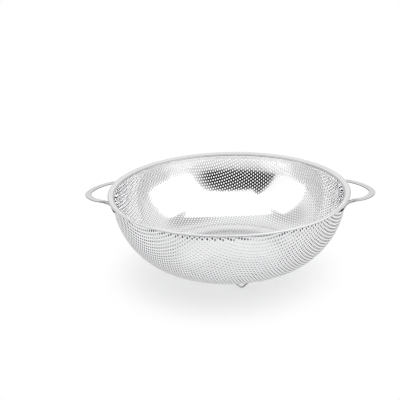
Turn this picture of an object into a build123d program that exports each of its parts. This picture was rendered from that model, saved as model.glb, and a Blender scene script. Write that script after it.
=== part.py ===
"""A stainless steel colander: a finely perforated bowl with a folded rim band, two flat
loop handles of wire and three wire feet, all of them joined by spot welds.

Millimetres, +Z up. The origin is on the table under the middle of the bowl, and the
handles lie along X.
"""
from build123d import *
from math import acos, atan2, cos, pi, radians, sin, sqrt
import os

os.makedirs("parts", exist_ok=True)

# The bowl: one drawn sheet with a plain flat bottom and a wall that ends upright. Its
# meridian is two arcs that meet smoothly at an angle from straight down.
bowl_sheet = 0.6
wall_radius = 134.6
flat_radius = 64.9
bowl_underside = 7.75
arc_join_turn = 43.7
upright_length = 2.05

# The drain holes: a triangular pattern in the flat blank, which is then drawn. The real
# pattern is too fine to model whole. Each modelled hole stands for as many real rows and
# real holes to a row as the coarsening says, and opens as much of the sheet as they do.
hole_diameter = 2.2
hole_pitch = 3.85
hole_coarsening = 3
hole_row_turn = 17.3
hole_edge_margin = 1.2
hole_turn_tolerance = 1e-9

# The rim band: a strip folded over the bowl's edge, with an outer roll, an inner fold and
# a skirt against the inside of the wall.
rim_radius = 140.0
rim_top = 92.3
rim_width = 8.0
rim_slope = 19.0
band_sheet = 0.5
rim_roll_diameter = 2.6
rim_fold_diameter = 1.2
skirt_drop = 7.8
edge_clearance = 0.05

# The handles: round wire that is pressed flat along the loop, with its ends, still round,
# bent along the wall under the rim.
handle_wire = 3.6
loop_bar_width = 7.2
loop_bar_thickness = 1.9
loop_half_width = 33.7
loop_reach = 32.8
loop_fullness = 1.79
loop_droop = 1.9
rim_to_loop_clearance = 0.35
neck_start_reach = 9.5
neck_length = 4.2
neck_drop = 0.85
tab_drop = 2.3
tab_start_turn = 18.0
tab_length = 16.5
tab_clearance = 0.1
bend_handle_length = 3.4
loop_curve_steps = 16

# The feet: V bends of thin wire, whose ends lie along the underside of the bowl.
foot_wire = 2.0
foot_circle_radius = 74.7
front_foot_turn = 282.4
foot_turn_step = 120.0
foot_toe_width = 2.4
foot_arm_spread = 8.0
foot_tab_length = 7.0
foot_bend_radius = 2.0
foot_toe_wear = 0.15
foot_clearance = 0.1

# The spot welds.
handle_weld_diameter = 3.0
foot_weld_diameter = 1.7

# The rim band's levels, worked out.
roll_radius = rim_roll_diameter / 2
fold_radius = rim_fold_diameter / 2
slope = radians(rim_slope)
roll_centre_radius = rim_radius - roll_radius
roll_centre_height = rim_top - roll_radius
lip_underside = rim_top - rim_roll_diameter
fold_centre_radius = rim_radius - rim_width + fold_radius
fold_rise = roll_radius - fold_radius - (roll_centre_radius - fold_centre_radius) * sin(slope)
fold_centre_height = roll_centre_height + fold_rise / cos(slope)
skirt_bottom = rim_top - skirt_drop
wall_inside = wall_radius - bowl_sheet
skirt_inside = wall_inside - band_sheet

# The bowl's meridian, worked out.
upright_height = lip_underside - upright_length
join_angle = radians(arc_join_turn)
arcs_width = wall_radius - flat_radius
arcs_rise = upright_height - bowl_underside
arcs_scale = sin(join_angle) + cos(join_angle) - 1
lower_arc = (arcs_width * cos(join_angle) - arcs_rise * (1 - sin(join_angle))) / arcs_scale
upper_arc = (arcs_rise * sin(join_angle) - arcs_width * (1 - cos(join_angle))) / arcs_scale
lower_centre = (flat_radius, bowl_underside + lower_arc)
upper_centre = (wall_radius - upper_arc, upright_height)

# The modelled holes, worked out.
modelled_hole = hole_diameter * hole_coarsening
modelled_pitch = hole_pitch * hole_coarsening

# Where the feet's ends are welded to the underside, worked out, as X and Y.
foot_turn = radians(front_foot_turn)
foot_tab_inner = foot_toe_width / 2 + foot_arm_spread
foot_tab_outer = foot_tab_inner + foot_tab_length
foot_tab_middle = foot_tab_inner + foot_tab_length / 2
foot_weld_places = []
for foot_number in range(3):
    turn = foot_turn + foot_number * radians(foot_turn_step)
    for sideways in (-foot_tab_middle, foot_tab_middle):
        x_place = foot_circle_radius * cos(turn) - sideways * sin(turn)
        y_place = foot_circle_radius * sin(turn) + sideways * cos(turn)
        foot_weld_places.append((x_place, y_place))

# Where the sheet's edge ends inside the band, just under the sloping top.
top_sheet_height = roll_centre_height + (roll_radius - (roll_centre_radius - wall_inside) * sin(slope)) / cos(slope)
ceiling_height = top_sheet_height - band_sheet / cos(slope)
edge_height = ceiling_height - edge_clearance


def on_circle(centre, radius, angle):
    """The point of a circle at an angle from straight down, turning outwards."""
    return (centre[0] + radius * sin(angle), centre[1] - radius * cos(angle))


def angle_at_height(height, radius):
    """The angle from straight down at which an upper arc passes a height."""
    return acos((upright_height - height) / radius)


def draw_meridian(inset):
    """Draws the bowl's meridian from the axis to the sheet's edge, inset from the outer face."""
    lower = lower_arc - inset
    upper = upper_arc - inset
    flat_end = (flat_radius, bowl_underside + inset)
    join = on_circle(lower_centre, lower, join_angle)
    upright_start = (wall_radius - inset, upright_height)
    Line((0, bowl_underside + inset), flat_end)
    ThreePointArc(flat_end, on_circle(lower_centre, lower, join_angle / 2), join)
    ThreePointArc(join, on_circle(upper_centre, upper, (join_angle + pi / 2) / 2), upright_start)
    Line(upright_start, (wall_radius - inset, edge_height))


def blank_radius_at(angle):
    """The radius of the flat blank that is drawn to a meridian angle. The sheet keeps its area."""
    lower_angle = min(angle, join_angle)
    area = flat_radius**2 / 2
    area += lower_arc * (flat_radius * lower_angle + lower_arc * (1 - cos(lower_angle)))
    if angle > join_angle:
        area += upper_arc * upper_centre[0] * (angle - join_angle)
        area += upper_arc**2 * (cos(join_angle) - cos(angle))
    return sqrt(2 * area)


def angle_of(blank_radius):
    """The meridian angle to which a circle of the flat blank is drawn."""
    low = 0
    high = pi / 2
    while high - low > hole_turn_tolerance:
        middle = (low + high) / 2
        if blank_radius_at(middle) < blank_radius:
            low = middle
        else:
            high = middle
    return low


def hole_plane(blank_radius, turn):
    """A plane on the bowl's outer face with its Z axis outwards, at a point of the blank."""
    angle = angle_of(blank_radius)
    if angle > join_angle:
        radius, height = on_circle(upper_centre, upper_arc, angle)
    else:
        radius, height = on_circle(lower_centre, lower_arc, angle)
    outwards = (sin(angle) * cos(turn), sin(angle) * sin(turn), -cos(angle))
    return Plane(origin=(radius * cos(turn), radius * sin(turn), height), z_dir=outwards)


def leaves_welds(origin):
    """Whether a hole leaves the sheet whole where the feet are welded on."""
    least = (modelled_hole + foot_weld_diameter) / 2 + hole_edge_margin
    return all(sqrt((origin.X - x) ** 2 + (origin.Y - y) ** 2) >= least for x, y in foot_weld_places)


def hole_planes():
    """The planes of all the modelled drain holes, from the flat bottom's edge to the skirt."""
    first = flat_radius + modelled_hole / 2 + hole_edge_margin
    last_height = skirt_bottom - modelled_hole / 2 - hole_edge_margin
    last = blank_radius_at(angle_at_height(last_height, upper_arc))
    row_step = modelled_pitch * sin(pi / 3)
    reach = int(last / row_step) + 1
    planes = []
    for row in range(-reach, reach + 1):
        for place in range(-2 * reach, 2 * reach + 1):
            along = modelled_pitch * (place + row / 2)
            across = row_step * row
            blank_radius = sqrt(along**2 + across**2)
            if first <= blank_radius <= last:
                turn = atan2(across, along) + radians(hole_row_turn)
                plane = hole_plane(blank_radius, turn)
                if leaves_welds(plane.origin):
                    planes.append(plane)
    return planes


# The bowl, perforated.
with BuildPart() as bowl:
    with BuildSketch(Plane.XZ):
        with BuildLine():
            draw_meridian(0)
            draw_meridian(bowl_sheet)
            Line((0, bowl_underside), (0, bowl_underside + bowl_sheet))
            Line((wall_inside, edge_height), (wall_radius, edge_height))
        make_face()
    revolve(axis=Axis.Z)
    with Locations(*hole_planes()):
        Cylinder(modelled_hole / 2, 4 * bowl_sheet, mode=Mode.SUBTRACT)
bowl.part.label = "bowl"
export_step(bowl.part, "parts/bowl.step", write_pcurves=False)

# All that the bowl's outer face encloses. It trims the welds to the sheet.
with BuildPart() as bowl_envelope:
    with BuildSketch(Plane.XZ):
        with BuildLine():
            draw_meridian(0)
            Line((wall_radius, edge_height), (0, edge_height))
            Line((0, edge_height), (0, bowl_underside))
        make_face()
    revolve(axis=Axis.Z)

# The rim band, which is its folded section turned about the axis.
roll_centre = (roll_centre_radius, roll_centre_height)
fold_centre = (fold_centre_radius, fold_centre_height)
slope_side = pi + slope
skirt_face_arc = upper_arc - bowl_sheet
skirt_back_arc = skirt_face_arc - band_sheet
skirt_face_angle = angle_at_height(skirt_bottom, skirt_face_arc)
skirt_face_middle = (skirt_face_angle + pi / 2) / 2
inner_roll_radius = roll_radius - band_sheet
with BuildPart() as rim_band:
    with BuildSketch(Plane.XZ):
        with BuildLine():
            fold_top = on_circle(fold_centre, fold_radius, slope_side)
            fold_bottom = on_circle(fold_centre, fold_radius, 0)
            roll_top = on_circle(roll_centre, roll_radius, slope_side)
            roll_bottom = on_circle(roll_centre, roll_radius, 0)
            skirt_face_end = on_circle(upper_centre, skirt_face_arc, skirt_face_angle)
            skirt_back_end = on_circle(upper_centre, skirt_back_arc, skirt_face_angle)
            Line(fold_top, roll_top)
            ThreePointArc(roll_top, on_circle(roll_centre, roll_radius, pi / 2), roll_bottom)
            Line(roll_bottom, (wall_inside, lip_underside))
            Line((wall_inside, lip_underside), (wall_inside, upright_height))
            ThreePointArc(
                (wall_inside, upright_height),
                on_circle(upper_centre, skirt_face_arc, skirt_face_middle),
                skirt_face_end,
            )
            Line(skirt_face_end, skirt_back_end)
            ThreePointArc(
                skirt_back_end,
                on_circle(upper_centre, skirt_back_arc, skirt_face_middle),
                (skirt_inside, upright_height),
            )
            Line((skirt_inside, upright_height), (skirt_inside, fold_bottom[1]))
            Line((skirt_inside, fold_bottom[1]), fold_bottom)
            ThreePointArc(fold_bottom, on_circle(fold_centre, fold_radius, -pi / 2), fold_top)
        make_face()
        with BuildLine():
            ceiling_start = (wall_inside, ceiling_height)
            ceiling_end = on_circle(roll_centre, inner_roll_radius, slope_side)
            floor_end = on_circle(roll_centre, inner_roll_radius, 0)
            Line(ceiling_start, ceiling_end)
            ThreePointArc(ceiling_end, on_circle(roll_centre, inner_roll_radius, pi / 2), floor_end)
            Line(floor_end, (wall_radius, floor_end[1]))
            Line((wall_radius, floor_end[1]), (wall_radius, lip_underside))
            Line((wall_radius, lip_underside), (wall_inside, lip_underside))
            Line((wall_inside, lip_underside), ceiling_start)
        make_face(mode=Mode.SUBTRACT)
    revolve(axis=Axis.Z)
rim_band.part.label = "rim_band"
export_step(rim_band.part, "parts/rim_band.step")

# The handle's places, worked out. Its loop starts where the wire's centre meets the wall.
loop_height = lip_underside - rim_to_loop_clearance - loop_bar_thickness / 2
tab_height = loop_height - tab_drop
tab_radius = wall_radius + tab_clearance + handle_wire / 2
loop_start = sqrt(tab_radius**2 - loop_half_width**2)
tab_start = radians(tab_start_turn)
tab_turn = tab_length / tab_radius


def loop_point(share):
    """A point of the loop. The share goes from one end, at minus one, to the other, at one."""
    angle = share * pi / 2
    outward = abs(cos(angle)) ** (2 / loop_fullness)
    sideways = abs(sin(angle)) ** (2 / loop_fullness)
    side = -1 if share < 0 else 1
    height = loop_height - loop_droop * outward
    return Vector(loop_start + loop_reach * outward, side * loop_half_width * sideways, height)


def upright_x(direction):
    """The unit direction nearest to upright that is square to a wire's direction."""
    return (Vector(0, 0, 1) - direction * direction.Z).normalized()


# The share of the loop at which the neck starts.
neck_outward_share = neck_start_reach / loop_reach
neck_share = acos(neck_outward_share ** (loop_fullness / 2)) * 2 / pi
loop_shares = [neck_share * (2 * step / loop_curve_steps - 1) for step in range(loop_curve_steps + 1)]
neck_start = loop_point(neck_share)
neck_side = neck_start.Y / loop_half_width
along_outward = neck_side ** (loop_fullness - 1) / loop_half_width
along_sideways = neck_outward_share ** (loop_fullness - 1) / loop_reach
along_upward = along_outward * loop_droop / loop_reach
neck_direction = Vector(-along_outward, along_sideways, along_upward).normalized()

with BuildPart() as right_handle:
    with BuildLine() as loop_line:
        first_direction = Vector(-neck_direction.X, neck_direction.Y, -neck_direction.Z)
        Spline(
            *[loop_point(share) for share in loop_shares],
            tangents=[first_direction, neck_direction],
        )
    with BuildSketch(Plane(loop_line.line @ 0, x_dir=upright_x(first_direction), z_dir=first_direction)):
        Ellipse(loop_bar_thickness / 2, loop_bar_width / 2)
    sweep(path=loop_line.line)
    for side in (-1, 1):
        start = Vector(neck_start.X, side * neck_start.Y, neck_start.Z)
        inward = Vector(neck_direction.X, side * neck_direction.Y, neck_direction.Z)
        neck_end = start + inward * neck_length - Vector(0, 0, neck_drop)
        tab_point = Vector(tab_radius * cos(tab_start), side * tab_radius * sin(tab_start), tab_height)
        tab_direction = Vector(-sin(tab_start), side * cos(tab_start), 0)
        with BuildSketch(Plane(start, x_dir=upright_x(inward), z_dir=inward)):
            Ellipse(loop_bar_thickness / 2, loop_bar_width / 2)
        with BuildSketch(Plane(neck_end, x_dir=upright_x(inward), z_dir=inward)):
            Circle(handle_wire / 2)
        loft()
        with BuildLine() as tab_line:
            Bezier(
                neck_end,
                neck_end + inward * bend_handle_length,
                tab_point - tab_direction * bend_handle_length,
                tab_point,
            )
            arc_middle = tab_start + tab_turn / 2
            arc_end = tab_start + tab_turn
            ThreePointArc(
                tab_point,
                (tab_radius * cos(arc_middle), side * tab_radius * sin(arc_middle), tab_height),
                (tab_radius * cos(arc_end), side * tab_radius * sin(arc_end), tab_height),
            )
        with BuildSketch(Plane(neck_end, x_dir=upright_x(inward), z_dir=inward)):
            Circle(handle_wire / 2)
        sweep(path=tab_line.line)
right_handle.part.label = "right_handle"
export_step(right_handle.part, "parts/right_handle.step")

with BuildPart() as left_handle:
    add(right_handle.part, rotation=(0, 0, 180))
left_handle.part.label = "left_handle"
export_step(left_handle.part, "parts/left_handle.step")

# A weld fills the space between the wall and each tab's wire.
handle_weld_planes = []
for side in (-1, 1):
    weld_turn = side * (tab_start + tab_turn / 2)
    outwards = Vector(cos(weld_turn), sin(weld_turn), 0)
    handle_weld_planes.append(Plane(outwards * wall_inside + Vector(0, 0, tab_height), z_dir=outwards))
with BuildPart() as right_handle_welds:
    with Locations(*handle_weld_planes):
        Cylinder(
            handle_weld_diameter / 2,
            tab_radius - wall_inside,
            align=(Align.CENTER, Align.CENTER, Align.MIN),
        )
    add(bowl_envelope.part, mode=Mode.SUBTRACT)
    add(right_handle.part, mode=Mode.SUBTRACT)
right_handle_welds.part.label = "right_handle_welds"
export_step(right_handle_welds.part, "parts/right_handle_welds.step")

with BuildPart() as left_handle_welds:
    add(right_handle_welds.part, rotation=(0, 0, 180))
left_handle_welds.part.label = "left_handle_welds"
export_step(left_handle_welds.part, "parts/left_handle_welds.step")

# A foot's places, worked out, in the upright plane that touches the foot circle.
foot_inner_radius = sqrt(foot_circle_radius**2 + foot_tab_inner**2)
foot_seat_drop = sqrt(lower_arc**2 - (foot_inner_radius - flat_radius) ** 2)
foot_tab_height = lower_centre[1] - foot_seat_drop - foot_clearance - foot_wire / 2
foot_toe_height = foot_wire / 2 - foot_toe_wear
foot_outwards = Vector(cos(foot_turn), sin(foot_turn), 0)
foot_sideways = Vector(-sin(foot_turn), cos(foot_turn), 0)
foot_plane = Plane(foot_outwards * foot_circle_radius, x_dir=foot_sideways, z_dir=foot_outwards)

with BuildPart() as front_foot:
    with BuildLine(foot_plane) as foot_line:
        FilletPolyline(
            (-foot_tab_outer, foot_tab_height),
            (-foot_tab_inner, foot_tab_height),
            (-foot_toe_width / 2, foot_toe_height),
            (foot_toe_width / 2, foot_toe_height),
            (foot_tab_inner, foot_tab_height),
            (foot_tab_outer, foot_tab_height),
            radius=foot_bend_radius,
        )
    with BuildSketch(Plane(foot_line.line @ 0, x_dir=(0, 0, 1), z_dir=foot_line.line % 0)):
        Circle(foot_wire / 2)
    sweep(path=foot_line.line)
    split(bisect_by=Plane.XY, keep=Keep.TOP)
front_foot.part.label = "front_foot"
export_step(front_foot.part, "parts/front_foot.step")

with BuildPart() as rear_right_foot:
    add(front_foot.part, rotation=(0, 0, foot_turn_step))
rear_right_foot.part.label = "rear_right_foot"
export_step(rear_right_foot.part, "parts/rear_right_foot.step")

with BuildPart() as rear_left_foot:
    add(front_foot.part, rotation=(0, 0, 2 * foot_turn_step))
rear_left_foot.part.label = "rear_left_foot"
export_step(rear_left_foot.part, "parts/rear_left_foot.step")

# A weld fills the space between the underside of the bowl and each end of a foot.
with BuildPart() as foot_welds:
    with Locations(*[(x_place, y_place, foot_tab_height) for x_place, y_place in foot_weld_places]):
        Cylinder(
            foot_weld_diameter / 2,
            foot_wire,
            align=(Align.CENTER, Align.CENTER, Align.MIN),
        )
    add(bowl_envelope.part, mode=Mode.SUBTRACT)
    add(front_foot.part, mode=Mode.SUBTRACT)
    add(rear_right_foot.part, mode=Mode.SUBTRACT)
    add(rear_left_foot.part, mode=Mode.SUBTRACT)
foot_welds.part.label = "foot_welds"
export_step(foot_welds.part, "parts/foot_welds.step")
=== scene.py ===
"""The looks of a perforated steel colander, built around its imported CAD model.

All lengths are metres in the part's own frame: +Z up, the handles along X, and the origin
on the table under the middle of the bowl.
"""
import logging
from dataclasses import dataclass, field
from enum import Enum, IntEnum
from math import acos, asin, atan2, cos, pi, radians, sin, sqrt, tau

import bmesh
import bpy
import numpy as np
from mathutils import Matrix, Vector


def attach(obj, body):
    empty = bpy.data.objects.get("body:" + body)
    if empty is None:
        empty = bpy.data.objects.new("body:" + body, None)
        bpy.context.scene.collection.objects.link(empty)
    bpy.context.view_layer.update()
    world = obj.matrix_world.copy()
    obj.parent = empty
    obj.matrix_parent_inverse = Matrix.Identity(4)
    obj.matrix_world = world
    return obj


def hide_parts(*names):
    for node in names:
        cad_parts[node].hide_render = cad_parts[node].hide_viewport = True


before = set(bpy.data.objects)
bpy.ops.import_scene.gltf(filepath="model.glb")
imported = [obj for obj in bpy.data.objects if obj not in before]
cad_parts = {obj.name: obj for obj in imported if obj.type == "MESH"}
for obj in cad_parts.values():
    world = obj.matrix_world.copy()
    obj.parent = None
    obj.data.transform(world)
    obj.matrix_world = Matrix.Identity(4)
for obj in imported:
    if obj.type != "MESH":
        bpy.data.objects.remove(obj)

LOG = logging.getLogger("colander")
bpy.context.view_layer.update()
MM = 0.001
UP = Vector((0, 0, 1))
WHITE = (1.0, 1.0, 1.0, 1.0)

# A Mix node has a socket of each name for each kind of value, so they go by number.
MIX_FACTOR = 0
MIX_NUMBERS = (2, 3)
MIX_NUMBER_OUT = 0
MIX_VECTORS = (4, 5)
MIX_VECTOR_OUT = 1
MIX_COLOURS = (6, 7)
MIX_COLOUR_OUT = 2

Tree = bpy.types.NodeTree
Socket = bpy.types.NodeSocket
Given = Socket | float | tuple[float, ...] | Vector
Colour = tuple[float, float, float]
Profile = list[tuple[float, float]]


# Shader nodes


def feed(tree: Tree, socket: Socket, value: Given) -> None:
    """Gives a socket its value, or links another node's output to it.

    Args:
        tree: the node tree.
        socket: the input to feed.
        value: the value or the output.
    """
    if isinstance(value, Socket):
        tree.links.new(value, socket)
    else:
        socket.default_value = value


def add_node(
    tree: Tree, kind: str, given: dict[str | int, Given] | None = None, **settings: object
) -> bpy.types.Node:
    """Adds a node to a tree.

    Args:
        tree: the node tree.
        kind: the node's type.
        given: what each input is fed with, by the input's name or number.
        settings: the node's own settings, such as its operation.

    Returns:
        The node.
    """
    node = tree.nodes.new(kind)
    for label, setting in settings.items():
        setattr(node, label, setting)
    for label, value in (given or {}).items():
        feed(tree, node.inputs[label], value)
    return node


def number_math(tree: Tree, operation: str, *given: Given) -> Socket:
    """Adds a Math node and returns its result."""
    return add_node(tree, "ShaderNodeMath", dict(enumerate(given)), operation=operation).outputs[0]


def vector_math(tree: Tree, operation: str, *given: Given) -> bpy.types.Node:
    """Adds a Vector Math node and returns it."""
    return add_node(tree, "ShaderNodeVectorMath", dict(enumerate(given)), operation=operation)


def eased(tree: Tree, value: Given, span: tuple[float, float], ends: tuple[float, float]) -> Socket:
    """Adds a node that goes smoothly from one value to another.

    Args:
        tree: the node tree.
        value: the number that decides.
        span: where in that number the change starts and ends.
        ends: the result before it and after it.

    Returns:
        The result.
    """
    given = {"Value": value, "From Min": span[0], "From Max": span[1], "To Min": ends[0], "To Max": ends[1]}
    return add_node(tree, "ShaderNodeMapRange", given, interpolation_type="SMOOTHSTEP").outputs["Result"]


def mixed_shaders(tree: Tree, share: Given, first: bpy.types.Node, second: bpy.types.Node) -> bpy.types.Node:
    """Adds a node that goes from the first shader to the second one by a share."""
    return add_node(tree, "ShaderNodeMixShader", {0: share, 1: first.outputs[0], 2: second.outputs[0]})


# Finishes


MARK_DETAIL = 3.0
CLOUD_DETAIL = 2.0
NOISE_MIDDLE = 0.5


class Grain(Enum):
    """The way the fine marks of a metal surface run, as the share that is turned."""

    EVEN = 0.0
    TURNED = 1.0


class SheetSlot(IntEnum):
    """The bowl's finishes, in the order in which its mesh holds them."""

    OUTSIDE = 0
    INSIDE = 1
    HOLE_EDGE = 2
    CREVICE_SHADE = 3


class BandSlot(IntEnum):
    """The rim band's finishes, in the order in which its mesh holds them."""

    BAND = 0
    CREVICE_SHADE = 1
    SEAM_SHADE = 2
    ROLL_SHADE = 3
    FOLD_SHADE = 4


class HandleSlot(IntEnum):
    """A handle's finishes, in the order in which its mesh holds them."""

    WIRE = 0
    CUT_AND_SHADE = 1
    BAR_EDGE_SHADE = 2
    NECK_SHADE = 3


def steel_grain_group() -> Tree:
    """Makes the group that gives every steel surface its fine marks.

    Returns:
        A group that puts out a tint factor, a roughness and a height over the surface.
    """
    group = bpy.data.node_groups.new("steel_grain", "ShaderNodeTree")
    for label in ("Grain Size", "Cloud Size", "Turned", "Roughness", "Spread"):
        group.interface.new_socket(label, in_out="INPUT", socket_type="NodeSocketFloat")
    for label in ("Tint", "Roughness", "Height"):
        group.interface.new_socket(label, in_out="OUTPUT", socket_type="NodeSocketFloat")
    given = add_node(group, "NodeGroupInput").outputs
    place = add_node(group, "ShaderNodeTexCoord").outputs["Object"]
    parts = add_node(group, "ShaderNodeSeparateXYZ", {0: place}).outputs
    flat = add_node(group, "ShaderNodeCombineXYZ", {"X": parts["X"], "Y": parts["Y"]}).outputs[0]
    reach = vector_math(group, "LENGTH", flat).outputs["Value"]
    ring_place = add_node(group, "ShaderNodeCombineXYZ", {"X": reach, "Z": parts["Z"]}).outputs[0]
    choose = add_node(
        group,
        "ShaderNodeMix",
        {MIX_FACTOR: given["Turned"], MIX_VECTORS[0]: place, MIX_VECTORS[1]: ring_place},
        data_type="VECTOR",
    )
    marks_place = choose.outputs[MIX_VECTOR_OUT]
    fine, clouds = (
        add_node(group, "ShaderNodeTexNoise", {"Vector": where, "Scale": given[size], "Detail": detail})
        for where, size, detail in (
            (marks_place, "Grain Size", MARK_DETAIL),
            (place, "Cloud Size", CLOUD_DETAIL),
        )
    )
    centred = number_math(group, "SUBTRACT", clouds.outputs["Fac"], NOISE_MIDDLE)
    roughness = number_math(group, "MULTIPLY_ADD", centred, given["Spread"], given["Roughness"])
    add_node(
        group,
        "NodeGroupOutput",
        {"Tint": clouds.outputs["Fac"], "Roughness": roughness, "Height": fine.outputs["Fac"]},
    )
    return group


@dataclass(frozen=True)
class SteelFinish:
    """One finish of stainless steel.

    Attributes:
        name: the material's name.
        dark: the colour where the clouds of the finish are darkest.
        light: the colour where they are lightest.
        roughness: the middle roughness.
        spread: how much the roughness changes over the surface.
        grain: the way the fine marks run.
        grain_size: how many marks there are in a metre, roughly.
        bump: the strength of the marks' relief.
        metallic: how far the surface is bare metal. The rest scatters light evenly.
        cloud_size: how many clouds there are in a metre, roughly.
        mark_depth: how deep a mark is.
    """

    name: str
    dark: Colour
    light: Colour
    roughness: float
    spread: float
    grain: Grain = Grain.EVEN
    grain_size: float = 900.0
    bump: float = 0.05
    metallic: float = 1.0
    cloud_size: float = 22.0
    mark_depth: float = 0.1 * MM

    def material(self, group: Tree) -> bpy.types.Material:
        """Makes the finish's material.

        Args:
            group: the steel grain group.

        Returns:
            The material, with its nodes.
        """
        made = bpy.data.materials.new(self.name)
        made.use_nodes = True
        tree = made.node_tree
        given = {
            "Grain Size": self.grain_size,
            "Cloud Size": self.cloud_size,
            "Turned": self.grain.value,
            "Roughness": self.roughness,
            "Spread": self.spread,
        }
        marks = add_node(tree, "ShaderNodeGroup", given, node_tree=group)
        tint = add_node(
            tree,
            "ShaderNodeMix",
            {
                MIX_FACTOR: marks.outputs["Tint"],
                MIX_COLOURS[0]: (*self.dark, 1.0),
                MIX_COLOURS[1]: (*self.light, 1.0),
            },
            data_type="RGBA",
        )
        relief = add_node(
            tree,
            "ShaderNodeBump",
            {"Strength": self.bump, "Distance": self.mark_depth, "Height": marks.outputs["Height"]},
        )
        shader = tree.nodes["Principled BSDF"]
        shader.inputs["Metallic"].default_value = self.metallic
        feed(tree, shader.inputs["Base Color"], tint.outputs[MIX_COLOUR_OUT])
        feed(tree, shader.inputs["Roughness"], marks.outputs["Roughness"])
        feed(tree, shader.inputs["Normal"], relief.outputs["Normal"])
        return made


def steel(level: float, blue: float = 0.005) -> Colour:
    """A steel grey, with a little more blue in it than red and green."""
    return (level, level, level + blue)


class Finishes:
    """Every finish of the colander, each made once."""

    INSIDE = SteelFinish("sheet_inside_polish", steel(0.78), steel(0.84), 0.13, 0.04)
    OUTSIDE = SteelFinish(
        "sheet_outside_satin", steel(0.82, 0.007), steel(0.88, 0.007), 0.30, 0.06, bump=0.08
    )
    HOLE_EDGE = SteelFinish("punched_hole_edge", steel(0.90), steel(0.95), 0.92, 0.06, metallic=0.3)
    BAND = SteelFinish("rim_band_steel", steel(0.73), steel(0.79), 0.26, 0.06, Grain.TURNED, 2600.0, 0.06)
    # The roll is the band's steel painted darker: painted shade for the roll's dim reflection of the studio.
    ROLL_SHADE = SteelFinish("rim_roll_painted_shade", steel(0.56), steel(0.64), 0.48, 0.06, Grain.TURNED, 2600.0, 0.06)
    # The fold and the seam under it are the band's steel painted darker: painted shade for the dark line
    # where the inner fold meets the bowl's wall.
    FOLD_SHADE = SteelFinish("band_fold_painted_shade", steel(0.46), steel(0.54), 0.34, 0.08, Grain.TURNED, 2600.0, 0.06)
    SEAM_SHADE = SteelFinish("band_seam_painted_shade", steel(0.20), steel(0.28), 0.40, 0.10)
    # Near black: painted shade for the dark gap behind the uppermost holes, under the rim.
    CREVICE_SHADE = SteelFinish("band_crevice_painted_shade", steel(0.01, 0), steel(0.02, 0), 0.60, 0.10)
    WIRE = SteelFinish("handle_wire_steel", steel(0.60), steel(0.68), 0.30, 0.08)
    # The bar's edges are the wire's steel painted darker: painted shade for the dark reflection along the
    # pressed bar's rounded edges.
    BAR_EDGE_SHADE = SteelFinish("handle_bar_edge_painted_shade", steel(0.20), steel(0.28), 0.34, 0.08)
    # The neck is the wire's steel painted darker: painted shade where the wire passes into the gap under the
    # rim.
    NECK_SHADE = SteelFinish("handle_neck_painted_shade", steel(0.30), steel(0.38), 0.40, 0.08)
    # Near-black wire ends: partly the rough cut face, partly painted shade where the ends lie in the gap
    # under the rim.
    CUT_AND_SHADE = SteelFinish("cut_end_and_shade", steel(0.03, 0), steel(0.06, 0), 0.50, 0.10)
    FOOT = SteelFinish("foot_wire_steel", steel(0.40), steel(0.50), 0.34, 0.08)
    WELD = SteelFinish("weld_metal", steel(0.20, 0), (0.34, 0.33, 0.32), 0.50, 0.15, bump=0.4)

    def __init__(self) -> None:
        """Makes the materials."""
        group = steel_grain_group()
        self.inside = self.INSIDE.material(group)
        self.outside = self.OUTSIDE.material(group)
        self.hole_edge = self.HOLE_EDGE.material(group)
        self.band = self.BAND.material(group)
        self.roll = self.ROLL_SHADE.material(group)
        self.fold = self.FOLD_SHADE.material(group)
        self.seam = self.SEAM_SHADE.material(group)
        self.crevice_shade = self.CREVICE_SHADE.material(group)
        self.cut = self.CUT_AND_SHADE.material(group)
        self.wire = self.WIRE.material(group)
        self.bar_edge_shade = self.BAR_EDGE_SHADE.material(group)
        self.neck = self.NECK_SHADE.material(group)
        self.foot = self.FOOT.material(group)
        self.weld = self.WELD.material(group)


# Modelling helpers


def deselect_all() -> None:
    """Leaves object mode with nothing selected."""
    if bpy.context.object and bpy.context.object.mode != "OBJECT":
        bpy.ops.object.mode_set(mode="OBJECT")
    bpy.ops.object.select_all(action="DESELECT")


def place_in_scene(name: str, data: bpy.types.ID) -> bpy.types.Object:
    """Makes an object of a mesh, a lamp or a camera, in the scene.

    Args:
        name: the object's name.
        data: the mesh, the lamp or the camera.

    Returns:
        The object.
    """
    made = bpy.data.objects.new(name, data)
    bpy.context.scene.collection.objects.link(made)
    return made


def finish_piece(piece: bpy.types.Object, name: str, node: str) -> bpy.types.Object:
    """Names a new piece, puts it under the root body and hides the CAD node that it stands for.

    Args:
        piece: the new piece, at the origin.
        name: the piece's name.
        node: the CAD node that it stands for.

    Returns:
        The piece.
    """
    piece.name = name
    piece.data.name = name
    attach(piece, "root")
    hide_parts(node)
    LOG.info("%s: %d faces", name, len(piece.data.polygons))
    return piece


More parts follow.
